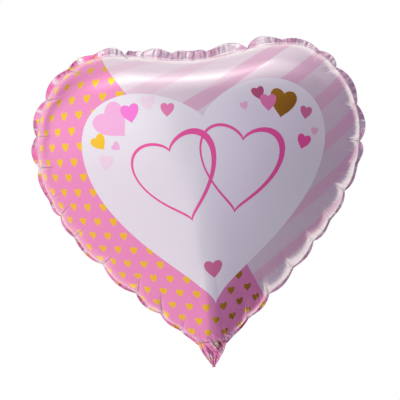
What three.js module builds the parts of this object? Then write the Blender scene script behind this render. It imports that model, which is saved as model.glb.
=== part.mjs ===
import * as THREE from 'three';

// Heart-shaped foil balloon, filled with gas. Millimetres, X right, Y back, Z up.
// Two films are welded together round the heart. Past its point both films go on as a
// flat filling tail, which is gathered to a point and folded up behind the heart. Two
// thin valve films lie between them, from the mouth of the tail into the balloon.

// Outline of the weld, measured from the level where the heart is widest. "Peak" is how
// far out a lobe's top lies, and "shoulder" the reach of its curve towards the notch.
// "Belly", "run" and "rise" are the reaches of a flank's curve, down from the widest
// level and out and up from the neck.
const heartWidth = 351.4;
const notchTop = 83.6;
const notchLift = 2;
const notchSoftness = 38;
const neckDepth = 223;
const neckWidth = 27.6;
const rightLobeTop = 96.6;
const rightPeak = 96.3;
const rightShoulder = 38.4;
const rightBelly = 67.1;
const rightRun = 96.3;
const rightRise = 83.3;
const leftLobeTop = 95.4;
const leftPeak = 91.2;
const leftShoulder = 27.9;
const leftBelly = 78.6;
const leftRun = 101.8;
const leftRise = 84;

// Inflated form. The contours turn from the heart's outline at the weld into an ellipse
// at the crown's middle. The ridge that runs down to the heart's point softens on its
// way up: by how many millimetres of outline, and from which share of the way to the weld.
const crownRise = 88;
const crownCentre = 12;
const innerHalfWidth = 152;
const innerRise = 118;
const innerDrop = 138;
const outlineHold = 1.25;
const ridgeSoftness = 60;
const ridgeFrom = 0.55;
const ridgeSlope = 0.5;
const sideFullness = 2.35;
const sideRoundness = 0.53;
const neckFullness = 2.15;
const neckRoundness = 0.85;

// Puckers of each side: the share of the weld's run from the notch to the neck, and how
// far the pucker draws the hem in
const rightPuckers = [
  [0.117, 1], [0.191, 0.6], [0.270, 0.7], [0.319, 1], [0.408, 0.9], [0.485, 1], [0.533, 0.5],
  [0.595, 1], [0.663, 0.55], [0.719, 1], [0.789, 0.8], [0.864, 1], [0.932, 0.7],
];
const leftPuckers = [
  [0.144, 1], [0.210, 0.55], [0.267, 0.7], [0.347, 1], [0.426, 1], [0.492, 0.9], [0.563, 0.4],
  [0.603, 1], [0.654, 0.5], [0.738, 1], [0.832, 1], [0.898, 0.9], [0.955, 0.8],
];

// Bulges of the weld between puckers, as shares of their spacing, and the creases that
// run in from the puckers
const lobeScallop = 0.02;
const flankScallop = 0.085;
const scallopFrom = 0.44;
const scallopTo = 0.62;
const creaseReach = 0.15;
const creaseDepth = 0.14;
const creaseSharpness = 6;

// Hem outside the weld, which is wide over the notch and narrow on the flanks
const hemNotch = 11.4;
const hemLobe = 6.8;
const hemFlank = 2.6;
const hemAtPucker = 0.7;
const hemFullness = 0.6;
const lobeHemFrom = 0.1;
const lobeHemTo = 0.24;
const flankHemFrom = 0.45;
const flankHemTo = 0.58;
const hemLean = 1.6;

// Films, and the clearance between films that touch
const film = 0.4;
const valveFilm = 0.25;
const clear = 0.3;
const foldClear = 0.5;

// Filling tail and valve
const tipDrop = 28;
const tailRise = 29;
const tipWidth = 3.4;
const tailHem = 2.6;
const legTaper = 0.78;
const mouthWidth = 31;
const pleatSlope = 0.32;
const pleatStart = 0.35;
const pleatEnd = 0.55;
const valveWidth = 22;
const valveInset = 3;
const valveReach = 112;
const gapFade = 45;
const gapFadeInwards = 0.3;

// Fineness of the mesh
const columnPitch = 7.2;
const fewestColumns = 4;
const ridgeSamples = 12;
const legRows = 7;
const bendRows = 4;
const valveRows = 9;
const rings = [
  { share: 1, step: 1 },
  { share: 0.985, step: 1 },
  { share: 0.945, step: 1 },
  { share: 0.885, step: 1 },
  { share: 0.79, step: 2 },
  { share: 0.67, step: 2 },
  { share: 0.52, step: 4 },
  { share: 0.34, step: 4 },
  { share: 0.17, step: 8 },
];

const { lerp, smoothstep, clamp } = THREE.MathUtils;
const neckHalf = neckWidth / 2;
const valveHalf = valveWidth / 2;
const tailWidth = neckWidth + 2 * tailHem;
const seamHalfGap = clear / 2;
const neckHalfGap = clear * 1.5 + valveFilm;
const bendRadius = neckHalfGap + film + foldClear;
const stackHalf = neckHalfGap + film;
const centre = new THREE.Vector2(0, crownCentre);

// Places across the tail at the neck: hem, weld, edge of the valve, and across the valve
const acrossValve = [valveHalf, valveHalf / 2, 0, -valveHalf / 2, -valveHalf];
const acrossTail = [tailWidth / 2, neckHalf, ...acrossValve, -neckHalf, -tailWidth / 2];

// One side of the weld, from the notch over the lobe and down to the neck. It is laid
// out to the right, and sideways says which way it really goes.
function sideWeld(sideways, lobeTop, peak, shoulder, belly, run, rise) {
  const half = heartWidth / 2;
  const curve = new THREE.CurvePath();
  curve.add(new THREE.CubicBezierCurve(
    new THREE.Vector2(0, notchTop), new THREE.Vector2(notchSoftness, notchTop + notchLift),
    new THREE.Vector2(peak - shoulder, lobeTop), new THREE.Vector2(peak, lobeTop)));
  curve.add(new THREE.EllipseCurve(peak, 0, half - peak, lobeTop, Math.PI / 2, 0, true));
  curve.add(new THREE.CubicBezierCurve(
    new THREE.Vector2(half, 0), new THREE.Vector2(half, -belly),
    new THREE.Vector2(neckHalf + run, rise - neckDepth), new THREE.Vector2(neckHalf, -neckDepth)));
  const mirror = new THREE.Vector2(sideways, 1);
  return {
    length: curve.getLength(),
    point: (share) => curve.getPoint(share).multiply(mirror),
    out: (share) => {
      const along = curve.getTangent(share);
      return new THREE.Vector2(-along.y, along.x).normalize().multiply(mirror);
    },
  };
}

const rightWeld = sideWeld(1, rightLobeTop, rightPeak, rightShoulder, rightBelly, rightRun, rightRise);
const leftWeld = sideWeld(-1, leftLobeTop, leftPeak, leftShoulder, leftBelly, leftRun, leftRise);
const outlineLength = rightWeld.length + neckWidth + leftWeld.length;

// Point of the whole outline, at a distance clockwise from the notch. Rounding can bring a
// share of the left weld just over 1 beside the neck.
function outlinePoint(distance) {
  const place = THREE.MathUtils.euclideanModulo(distance, outlineLength);
  if (place < rightWeld.length) return rightWeld.point(place / rightWeld.length);
  if (place < rightWeld.length + neckWidth) return new THREE.Vector2(neckHalf + rightWeld.length - place, -neckDepth);
  return leftWeld.point(Math.min((outlineLength - place) / leftWeld.length, 1));
}

// Arm from the crown's middle to the outline. It is evened out along the outline, the
// more the steeper the arm points down, so the inner contours go round the heart's point.
function softArm(distance) {
  const arm = outlinePoint(distance).sub(centre);
  const even = new THREE.Vector2();
  let weights = 0;
  for (let k = -ridgeSamples; k <= ridgeSamples; k++) {
    const weight = 1 - Math.abs(k) / (ridgeSamples + 1);
    even.addScaledVector(outlinePoint(distance + ridgeSoftness * k / ridgeSamples).sub(centre), weight);
    weights += weight;
  }
  return arm.lerp(even.divideScalar(weights), smoothstep(-arm.y / arm.length(), 0, ridgeSlope));
}

function hemWidth(share) {
  const width = lerp(hemNotch, hemLobe, smoothstep(share, lobeHemFrom, lobeHemTo));
  return lerp(width, hemFlank, smoothstep(share, flankHemFrom, flankHemTo));
}

// One place on the weld: its point, its distance round the outline, the direction out of
// the heart, and the hem, scallop, crease and gap that it has there. The place runs from
// 0 at one pucker to 1 at the next.
function flankStation(weld, share, place, span, pull, lean) {
  const distance = share * weld.length;
  const swell = 1 - (1 - Math.sin(Math.PI * place)) * pull;
  const bulge = span * lerp(lobeScallop, flankScallop, smoothstep(share, scallopFrom, scallopTo));
  const nearNeck = 1 - smoothstep(weld.length - distance, 0, gapFade);
  return {
    point: weld.point(share),
    distance: weld === rightWeld ? distance : outlineLength - distance,
    out: weld.out(share),
    scallop: bulge * (swell - 0.5) * (1 - nearNeck),
    crease: Math.pow(Math.abs(2 * place - 1), creaseSharpness) * pull * (1 - nearNeck),
    hem: lerp(hemAtPucker, hemWidth(share), Math.pow(swell, hemFullness)) + nearNeck * (1 - swell) * hemFlank,
    lean: lean * hemLean * Math.sin(2 * Math.PI * place) * (1 - nearNeck),
    gap: lerp(seamHalfGap, neckHalfGap, nearNeck),
  };
}

// Stations of one side, from the notch to the neck
function flank(weld, puckers) {
  const marks = [[0, 0], ...puckers, [1, 1]];
  const list = [];
  for (let k = 0; k + 1 < marks.length; k++) {
    const [start, firstPull] = marks[k];
    const [end, lastPull] = marks[k + 1];
    const span = (end - start) * weld.length;
    const columns = Math.max(fewestColumns, Math.round(span / columnPitch));
    const lean = k % 2 ? -1 : 1;
    for (let c = 0; c < columns; c++) {
      const place = c / columns;
      list.push(flankStation(weld, lerp(start, end, place), place, span, lerp(firstPull, lastPull, place), lean));
    }
  }
  list.push(flankStation(weld, 1, 0, columnPitch, 1, 1));
  return list;
}

function neckStation(x) {
  return {
    point: new THREE.Vector2(x, -neckDepth),
    distance: rightWeld.length + neckHalf - x,
    out: new THREE.Vector2(0, -1),
    scallop: 0, crease: 0, hem: 0, lean: 0, gap: neckHalfGap,
  };
}

// All stations, clockwise as seen from the front, with the numbers of the neck's corners
function weldStations() {
  const right = flank(rightWeld, rightPuckers);
  const left = flank(leftWeld, leftPuckers).slice(1).reverse();
  const neck = acrossValve.map(neckStation);
  const list = [...right, ...neck, ...left];
  for (const station of list) station.softArm = softArm(station.distance);
  return { stations: list, firstCorner: right.length - 1, lastCorner: right.length + neck.length };
}

const { stations, firstCorner, lastCorner } = weldStations();

// Point of the inner face of a film, at a share of the way from the crown's middle to
// the weld
function crownPoint(station, share, face) {
  const soft = station.softArm;
  const innerHalfHeight = soft.y > 0 ? innerRise : innerDrop;
  const oval = soft.clone().divideScalar(Math.hypot(soft.x / innerHalfWidth, soft.y / innerHalfHeight));
  const edge = soft.clone().lerp(station.point.clone().sub(centre), smoothstep(share, ridgeFrom, 1) ** 2);
  const place = oval.lerp(edge, Math.pow(share, outlineHold)).multiplyScalar(share).add(centre);
  const nearWeld = Math.max(0, 1 - (1 - share) / creaseReach);
  place.addScaledVector(station.out, station.scallop * nearWeld * nearWeld);
  const downward = clamp((centre.y - place.y) / (centre.y + neckDepth), 0, 1);
  const fullness = lerp(sideFullness, neckFullness, downward);
  const roundness = lerp(sideRoundness, neckRoundness, downward ** 3);
  const puckered = 1 - creaseDepth * station.crease * Math.sqrt(nearWeld);
  const rise = crownRise * Math.pow(1 - Math.pow(share, fullness), roundness) * puckered;
  const gap = lerp(seamHalfGap, station.gap, smoothstep(share, 1 - gapFadeInwards, 1));
  return new THREE.Vector3(place.x, face * (gap + rise), place.y);
}

// Edge of the hem. Both films lean the same way, so they stay side by side.
function hemPoint(station, face) {
  const place = station.point.clone().addScaledVector(station.out, station.scallop + station.hem);
  return new THREE.Vector3(place.x, station.lean + face * station.gap, place.y);
}

// Run of the tail's middle line, in the YZ plane: down to the fold, round it and up.
// "inward" points to the middle of the bend.
function tailPath() {
  const bendCentre = -neckDepth - tipDrop + bendRadius + stackHalf;
  const mouthTop = bendCentre + tailRise - bendRadius;
  const rows = [];
  for (let k = 1; k <= legRows; k++) {
    const z = lerp(-neckDepth, bendCentre, k / legRows);
    rows.push({ y: 0, z, inward: [1, 0], width: lerp(tipWidth, tailWidth, (1 - k / legRows) ** legTaper) });
  }
  for (let k = 1; k <= bendRows; k++) {
    const turn = Math.PI * k / bendRows;
    const inward = [Math.cos(turn), Math.sin(turn)];
    const y = bendRadius * (1 - inward[0]);
    rows.push({ y, z: bendCentre - bendRadius * inward[1], inward, width: tipWidth });
  }
  for (let k = 1; k <= legRows; k++) {
    const share = k / legRows;
    const width = lerp(tipWidth, mouthWidth, Math.sin(Math.PI / 2 * share));
    rows.push({ y: 2 * bendRadius, z: lerp(bendCentre, mouthTop, share), inward: [-1, 0], width, rising: share });
  }
  return rows;
}

const tail = tailPath();

// The gathered film stands in pleats near the fold, which die out towards the neck and
// the mouth. All the films keep in step.
function pleat(row, column) {
  const columns = acrossTail.length - 1;
  const toNeck = smoothstep(-row.z, neckDepth, neckDepth + tipDrop * pleatStart);
  const toMouth = row.rising ? 1 - smoothstep(row.rising, 0, pleatEnd) : 1;
  const edge = column === 0 || column === columns ? 0 : 1;
  const way = column % 2 ? 1 : -1;
  return edge * way * pleatSlope * row.width / columns * toNeck * toMouth;
}

// Point of the tail at one of its places across, offset from the middle line
function tailPoint(row, column, offset) {
  const x = acrossTail[column] * row.width / tailWidth;
  const y = row.y + offset * row.inward[0] + pleat(row, column);
  return new THREE.Vector3(x, y, row.z + offset * row.inward[1]);
}

// Triangles between two closed rings of vertices, where the inner one has fewer
function stitchRings(outer, inner) {
  const faces = [];
  let a = 0;
  let b = 0;
  while (a < outer.length || b < inner.length) {
    const nextA = (a + 1) / outer.length;
    const nextB = (b + 1) / inner.length;
    const outerNow = outer[a % outer.length];
    const innerNow = inner[b % inner.length];
    if (b >= inner.length || (a < outer.length && nextA <= nextB)) {
      faces.push([outerNow, outer[(a + 1) % outer.length], innerNow]);
      a++;
    } else {
      faces.push([outerNow, inner[(b + 1) % inner.length], innerNow]);
      b++;
    }
  }
  return faces;
}

// Triangles between two rows of vertices of the same length
function stitchRows(outer, inner) {
  const faces = [];
  for (let k = 0; k + 1 < outer.length; k++) {
    faces.push([outer[k], outer[k + 1], inner[k]], [outer[k + 1], inner[k + 1], inner[k]]);
  }
  return faces;
}

// The stitched faces look to the back, so those of a front film are turned round
function turned(faces, face) {
  return face < 0 ? faces.map(([a, b, c]) => [a, c, b]) : faces;
}

function faceNormals(points, faces) {
  const normals = points.map(() => new THREE.Vector3());
  const triangle = new THREE.Triangle();
  const normal = new THREE.Vector3();
  for (const [a, b, c] of faces) {
    triangle.set(points[a], points[b], points[c]);
    triangle.getNormal(normal).multiplyScalar(triangle.getArea());
    for (const corner of [a, b, c]) normals[corner].add(normal);
  }
  return normals.map((n) => n.normalize());
}

// Closed solid between a sheet's faces and the same faces moved out by the film. The
// faces turn counter-clockwise as seen from the moved side.
function thicken(inner, outer, faces) {
  const count = inner.length;
  const index = [];
  const edges = new Map();
  for (const [a, b, c] of faces) {
    index.push(a + count, b + count, c + count, a, c, b);
    for (const [from, to] of [[a, b], [b, c], [c, a]]) edges.set(`${from},${to}`, [from, to]);
  }
  for (const [from, to] of edges.values()) {
    if (edges.has(`${to},${from}`)) continue;
    index.push(from, to, to + count, from, to + count, from + count);
  }
  const geometry = new THREE.BufferGeometry().setFromPoints([...inner, ...outer]);
  geometry.setIndex(index);
  geometry.computeVertexNormals();
  return geometry;
}

// A panel: crown, hem and its half of the tail. face is -1 for the front film and 1
// for the back one.
function panel(face) {
  const inner = [];
  const fixed = new Map();
  const faces = [];
  const add = (point) => inner.push(point) - 1;

  const ringNumbers = rings.map(({ share, step }) => stations
    .filter((_, k) => k % step === 0)
    .map((station) => add(crownPoint(station, share, face))));
  for (let k = 0; k + 1 < ringNumbers.length; k++) faces.push(...stitchRings(ringNumbers[k], ringNumbers[k + 1]));
  const middle = add(new THREE.Vector3(centre.x, face * (seamHalfGap + crownRise), centre.y));
  const last = ringNumbers.at(-1);
  last.forEach((number, k) => faces.push([number, last[(k + 1) % last.length], middle]));

  const seam = ringNumbers[0];
  const rightHem = [];
  const leftHem = [];
  stations.forEach((station, k) => {
    if (k <= firstCorner) rightHem.push(add(hemPoint(station, face)));
    if (k >= lastCorner) leftHem.push(add(hemPoint(station, face)));
  });
  leftHem.push(rightHem[0]);
  faces.push(...stitchRows(rightHem, seam.slice(0, firstCorner + 1)));
  faces.push(...stitchRows(leftHem, [...seam.slice(lastCorner), seam[0]]));

  let above = [rightHem.at(-1), ...seam.slice(firstCorner, lastCorner + 1), leftHem[0]];
  for (const row of tail) {
    const numbers = above.map((_, column) => {
      const number = add(tailPoint(row, column, face * neckHalfGap));
      fixed.set(number, tailPoint(row, column, face * stackHalf));
      return number;
    });
    faces.push(...stitchRows(numbers, above));
    above = numbers;
  }

  const outward = turned(faces, face);
  const normals = faceNormals(inner, outward);
  const outer = inner.map((point, k) => fixed.get(k) ?? point.clone().addScaledVector(normals[k], film));
  return thicken(inner, outer, outward);
}

// A valve film: a strip from just inside the tail's mouth, round the fold, up through
// the neck and on into the balloon
function valveStrip(face) {
  const firstPlace = acrossTail.indexOf(valveHalf);
  const rows = [];
  for (let k = valveRows; k >= 0; k--) {
    rows.push({ y: 0, z: -neckDepth + valveReach * k / valveRows, inward: [1, 0], width: tailWidth });
  }
  rows.push(...tail.slice(0, -1));
  const mouth = tail.at(-1);
  rows.push({ ...mouth, z: mouth.z - valveInset });
  const inner = [];
  const outer = [];
  const faces = [];
  let above = null;
  for (const row of rows) {
    const numbers = acrossValve.map((_, k) => {
      outer.push(tailPoint(row, firstPlace + k, face * (clear / 2 + valveFilm)));
      return inner.push(tailPoint(row, firstPlace + k, face * clear / 2)) - 1;
    });
    if (above) faces.push(...stitchRows(numbers, above));
    above = numbers;
  }
  const outward = turned(faces, face);
  return thicken(inner, outer, outward);
}

const balloon = new THREE.Group();

function addPiece(name, geometry, color, roughness, metalness, opacity = 1) {
  const material = new THREE.MeshStandardMaterial({
    color, roughness, metalness, opacity, transparent: opacity < 1,
  });
  const piece = new THREE.Mesh(geometry, material);
  piece.name = name;
  balloon.add(piece);
}

addPiece('front_panel', panel(-1), 0xe9b9d2, 0.28, 0.85);
addPiece('back_panel', panel(1), 0xd9d9de, 0.25, 0.9);
addPiece('valve_front_film', valveStrip(-1), 0xf2f2f0, 0.4, 0, 0.6);
addPiece('valve_back_film', valveStrip(1), 0xf2f2f0, 0.4, 0, 0.6);

// The part's origin is the middle of its box
const middleOfBox = new THREE.Box3().setFromObject(balloon).getCenter(new THREE.Vector3());
balloon.position.copy(middleOfBox).negate();

export default balloon;
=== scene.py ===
"""Heart-shaped foil balloon: two metallised films welded together round a heart and blown
up, with the filling tail gathered and folded up behind the point."""

import math
from types import SimpleNamespace

import bpy
import numpy as np
from bpy.props import FloatProperty, FloatVectorProperty, PointerProperty
from mathutils import Matrix, Vector


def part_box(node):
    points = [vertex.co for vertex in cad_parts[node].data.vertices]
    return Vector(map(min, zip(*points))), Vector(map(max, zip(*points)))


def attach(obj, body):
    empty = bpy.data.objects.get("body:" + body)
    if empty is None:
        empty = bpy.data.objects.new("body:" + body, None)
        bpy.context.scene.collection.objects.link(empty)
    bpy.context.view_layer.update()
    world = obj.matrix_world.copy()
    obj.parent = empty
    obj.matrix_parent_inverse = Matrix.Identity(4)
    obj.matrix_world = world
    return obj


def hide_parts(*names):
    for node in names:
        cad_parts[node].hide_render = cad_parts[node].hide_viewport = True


bl_info = {
    "name": "Heart Foil Balloon",
    "version": (1, 0, 0),
    "blender": (4, 5, 0),
    "location": "View3D > Sidebar > Foil Balloon",
    "description": "Blows up a heart of metallised film with its print, puckered hem and filling tail",
    "category": "Add Mesh",
}

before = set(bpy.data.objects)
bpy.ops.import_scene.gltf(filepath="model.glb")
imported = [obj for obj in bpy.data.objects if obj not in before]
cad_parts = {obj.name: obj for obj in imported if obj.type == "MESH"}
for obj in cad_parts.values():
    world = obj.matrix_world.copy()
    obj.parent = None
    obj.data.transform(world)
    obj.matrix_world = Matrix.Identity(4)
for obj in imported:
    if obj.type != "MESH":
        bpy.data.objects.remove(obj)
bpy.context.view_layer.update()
film_low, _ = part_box("front_panel")
valve_low, valve_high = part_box("valve_front_film")

# Puckers on each side: the share of the weld's run from the notch to the neck, and how far
# each one draws the hem in
RIGHT_PUCKERS = (
    (0.030, 0.35), (0.117, 1), (0.191, 0.6), (0.270, 0.7), (0.319, 1), (0.408, 0.9), (0.485, 1),
    (0.533, 0.5), (0.595, 1), (0.663, 0.55), (0.719, 1), (0.789, 0.8), (0.864, 1), (0.932, 0.7))
LEFT_PUCKERS = (
    (0.046, 0.4), (0.109, 0.6), (0.144, 1), (0.210, 0.55), (0.267, 0.7), (0.347, 1), (0.426, 1), (0.492, 0.9),
    (0.563, 0.4), (0.603, 1), (0.654, 0.5), (0.738, 1), (0.832, 1), (0.898, 0.9), (0.955, 0.8))


def titled(key):
    """A key as a label"""
    return key.replace("_", " ").capitalize()


def length(description, default):
    """A size in metres, which takes its name from its key"""
    return lambda name: FloatProperty(name=name, description=description, default=default,
                                      unit="LENGTH", precision=4)


def amount(description, default):
    """A plain number, which takes its name from its key"""
    return lambda name: FloatProperty(name=name, description=description, default=default)


def angle(description, degrees):
    """An angle, which takes its name from its key"""
    return lambda name: FloatProperty(name=name, description=description, default=math.radians(degrees),
                                      subtype="ANGLE")


def colour(description, default):
    """A linear colour, which takes its name from its key"""
    return lambda name: FloatVectorProperty(name=name, description=description, default=default,
                                            size=3, subtype="COLOR", min=0, max=1)


def named(group):
    """Makes the properties of a group, each named after its key"""
    group.__annotations__ = {key: made(titled(key)) for key, made in group.__annotations__.items()}
    return group


@named
class HeartOutline(bpy.types.PropertyGroup):
    """Outline of the weld, measured from the level where the heart is widest"""
    heart_width: length("Across the lobes, weld to weld", 0.3526)
    notch_top: length("Height of the weld in the notch", 0.0836)
    notch_softness: length("Reach of the notch's round bottom", 0.038)
    neck_depth: length("Drop from the widest level to the neck", 0.223)
    neck_width: length("Opening between the welds at the neck", 0.0276)
    right_lobe_top: length("Height of the right lobe over the widest level", 0.0966)
    right_lobe_peak: length("Distance of the right lobe's top from the middle", 0.0963)
    right_shoulder: length("Reach of the right lobe's inner shoulder", 0.0384)
    right_belly: length("How far down the right flank stays wide", 0.0671)
    right_run: length("Outward reach of the right flank's lower end", 0.0963)
    right_rise: length("Upward reach of the right flank's lower end", 0.0833)
    left_lobe_top: length("Height of the left lobe over the widest level", 0.0954)
    left_lobe_peak: length("Distance of the left lobe's top from the middle", 0.0912)
    left_shoulder: length("Reach of the left lobe's inner shoulder", 0.0279)
    left_belly: length("How far down the left flank stays wide", 0.0786)
    left_run: length("Outward reach of the left flank's lower end", 0.1018)
    left_rise: length("Upward reach of the left flank's lower end", 0.084)


@named
class BlownForm(bpy.types.PropertyGroup):
    """Form of the blown-up films"""
    crown_rise: length("Height of each film's crown over the weld", 0.088)
    crown_centre: length("Height of the crown's middle over the widest level", 0.012)
    inner_half_width: length("Half width of the inner contours' ellipse", 0.152)
    inner_rise: length("Reach of the inner contours over the crown's middle", 0.118)
    inner_drop: length("Reach of the inner contours below the crown's middle", 0.138)
    outline_hold: amount("How far inwards the contours keep the heart's outline", 1.25)
    ridge_softness: length("Run of weld over which the inner contours round off the point", 0.06)
    side_fullness: amount("Flatness of the crown's top towards the sides", 2.35)
    side_roundness: amount("Roundness of the crown's edge at the sides", 0.53)
    neck_fullness: amount("Flatness of the crown's top towards the neck", 2.15)
    neck_roundness: amount("Roundness of the crown's edge at the neck", 0.85)
    lobe_scallop: amount("Bulge of the lobes' weld between puckers, as a share of their spacing", 0.02)
    flank_scallop: amount("Bulge of the flanks' weld between puckers, as a share of their spacing", 0.085)
    scallop_from: amount("Share of the weld where the bulges start to grow", 0.44)
    scallop_to: amount("Share of the weld where the bulges have grown", 0.62)
    scallop_reach: amount("Share of the crown over which the bulges die out", 0.2)
    crease_depth: length("Depth of the crease that runs in from each pucker", 0.0006)
    crease_length: length("How far a crease runs in from the weld", 0.017)
    crease_width: length("Half width of a crease", 0.0013)
    crease_spread: amount("How fast the two arms of a crease part", 0.16)
    dimple_depth: length("Depth of the wide hollow round a crease", 0.0009)
    dimple_width: length("Half width of the wide hollow", 0.006)
    rib_height: length("Height of the fine ribs along the weld", 0.00045)
    rib_spacing: length("Distance between the fine ribs", 0.0034)
    rib_length: length("How far the ribs run in from the weld", 0.012)
    film: length("Drawn thickness of a film", 0.0004)
    clear: length("Gap between films that touch", 0.0003)


@named
class HemForm(bpy.types.PropertyGroup):
    """Hem outside the weld"""
    hem_notch: length("Width of the hem over the notch", 0.0114)
    hem_lobe: length("Width of the hem round the lobes' outsides", 0.0062)
    hem_flank: length("Width of the hem that shows on the flanks", 0.0026)
    hem_at_pucker: length("Width of the hem where it is drawn in", 0.0007)
    lobe_from: amount("Share of the weld where the notch's hem starts to narrow", 0.1)
    lobe_to: amount("Share of the weld where the hem has the lobes' width", 0.24)
    flank_from: amount("Share of the weld where the lobes' hem starts to narrow", 0.45)
    flank_to: amount("Share of the weld where the hem has the flanks' width", 0.58)
    hem_slope: amount("How far the hem falls back, as a share of its width", 0.33)
    hem_tuck: amount("Share of the hem's width folded away over the left lobe", 0.5)
    hem_lean: length("How far a hem scallop leans out of the weld's plane", 0.0016)
    pleat_height: length("Height of the fine pleats in the hem", 0.0004)
    pleat_spacing: length("Distance between the fine pleats", 0.0068)


@named
class TailForm(bpy.types.PropertyGroup):
    """Filling tail below the neck, and the valve films in it"""
    tip_drop: length("From the neck down to the fold", 0.028)
    tail_rise: length("From the fold up to the mouth, behind the heart", 0.029)
    tip_width: length("Width of the gathered film at the fold", 0.0034)
    tail_hem: length("Hem on each side of the tail at the neck", 0.0026)
    mouth_width: length("Width of the tail at its mouth", 0.031)
    leg_taper: amount("How late the tail narrows towards the fold", 0.78)
    gather_height: length("Height of the folds that run to the point", 0.0007)
    neck_swell: length("How far the gas still parts the films at the neck", 0.0035)
    swell_reach: length("How far down the tail the gas parts the films", 0.010)
    fold_clear: length("Gap between the tail's two legs", 0.0005)
    valve_film: length("Drawn thickness of a valve film", 0.00025)
    valve_width: length("Width of the valve films", 0.022)
    valve_reach: length("How far the valve films reach into the balloon", 0.112)
    gap_fade: length("Length of weld over which the valve's thickness dies out", 0.045)


@named
class PrintLook(bpy.types.PropertyGroup):
    """Colours and pattern sizes of the print"""
    pearl: colour("Ground of the print", (0.85, 0.745, 0.785))
    white: colour("Big heart field", (0.86, 0.85, 0.87))
    stripe: colour("Pale diagonal stripes", (0.76, 0.49, 0.61))
    band: colour("Pink band with gold hearts", (0.93, 0.32, 0.58))
    gold: colour("Gold hearts", (1.0, 0.64, 0.045))
    magenta: colour("Strong pink hearts and lines", (0.90, 0.11, 0.38))
    orchid: colour("Bright violet pink hearts", (0.98, 0.22, 0.70))
    pink: colour("Soft pink hearts", (0.94, 0.48, 0.74))
    rose: colour("Deeper pink hearts", (0.84, 0.23, 0.46))
    raspberry: colour("Dull red pink hearts", (0.70, 0.18, 0.35))
    wine: colour("Dark red hearts", (0.54, 0.10, 0.21))
    blush: colour("Faint hearts", (0.92, 0.73, 0.83))
    faded: colour("Small pale hearts", (0.90, 0.53, 0.66))
    # Painted highlight: colour of the bright line painted along the weld, the pale lines beside the creases
    # and the white glints on the hem and the tip
    seam: colour("Bright line of the weld", (0.97, 0.92, 0.90))
    # Painted shade: colour of the dark line painted down the middle of each crease
    fold: colour("Dark line in a crease", (0.36, 0.09, 0.19))
    # Painted shade: colour of the darker patches painted on the crinkled hem
    mauve: colour("Patches of the hem", (0.62, 0.34, 0.48))
    silver: colour("Plain back film", (0.78, 0.74, 0.77))
    valve: colour("Clear valve film", (0.85, 0.87, 0.88))
    stripe_pitch: length("Distance from stripe to stripe", 0.0398)
    stripe_width: length("Width of a stripe", 0.0155)
    stripe_angle: angle("Climb of the stripes to the right", 33.1)
    dot_pitch: length("Distance between the band's small hearts in a row", 0.0194)
    dot_row: length("Distance between rows of small hearts", 0.01735)
    dot_size: length("Half width of a small heart", 0.0042)


@named
class StageLook(bpy.types.PropertyGroup):
    """Camera, floor and light"""
    camera_distance: length("From the weld's plane to the camera", 2.4)
    view_width: length("Width that the picture covers in the weld's plane", 0.436)
    aim_right: length("How far right of the part's origin the camera looks", -0.00295)
    aim_up: length("How far above the part's origin the camera looks", 0.00464)
    roll: angle("How far the balloon leans to the left in the picture", 3.886)
    floor_drop: length("From the part's origin down to the floor", 0.55)
    floor_size: length("Side of the floor", 2.4)


PROPERTY_GROUPS = {
    "outline": HeartOutline,
    "blown": BlownForm,
    "hem": HemForm,
    "tail": TailForm,
    "print_look": PrintLook,
    "stage_look": StageLook,
}


def math_method(operation, swapped=False):
    """A method that adds a Math node, with its own socket first or last"""
    def method(self, *others):
        terms = (*others, self) if swapped else (self, *others)
        return self.board.node("ShaderNodeMath", dict(enumerate(terms)), operation=operation)
    return method


class Wire:
    """A socket that takes part in Python expressions, which become Math nodes"""
    __add__ = math_method("ADD")
    __radd__ = math_method("ADD", swapped=True)
    __sub__ = math_method("SUBTRACT")
    __rsub__ = math_method("SUBTRACT", swapped=True)
    __mul__ = math_method("MULTIPLY")
    __rmul__ = math_method("MULTIPLY", swapped=True)
    __truediv__ = math_method("DIVIDE")
    __pow__ = math_method("POWER")
    __lt__ = math_method("LESS_THAN")
    __gt__ = math_method("GREATER_THAN")
    __abs__ = math_method("ABSOLUTE")
    floor = math_method("FLOOR")
    fract = math_method("FRACT")
    least = math_method("MINIMUM")
    most = math_method("MAXIMUM")
    exponent = math_method("EXPONENT")
    between = math_method("WRAP")

    def __init__(self, board, socket):
        self.board = board
        self.socket = socket

    def __neg__(self):
        return 0.0 - self

    def wrap(self, period):
        """Value from minus half a period to half a period"""
        return self.between(period / 2, -period / 2)

    def bell(self, width):
        """1 at 0, and falling away on both sides over the width"""
        scaled = self / width
        return (-(scaled * scaled)).exponent()

    def step(self, low, high):
        """Smooth rise from 0 at the low value to 1 at the high one"""
        sockets = {0: self, 1: low, 2: high}
        return self.board.node("ShaderNodeMapRange", sockets, interpolation_type="SMOOTHSTEP")

    def held(self):
        """Value held between 0 and 1"""
        return self.most(0.0).least(1.0)


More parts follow.
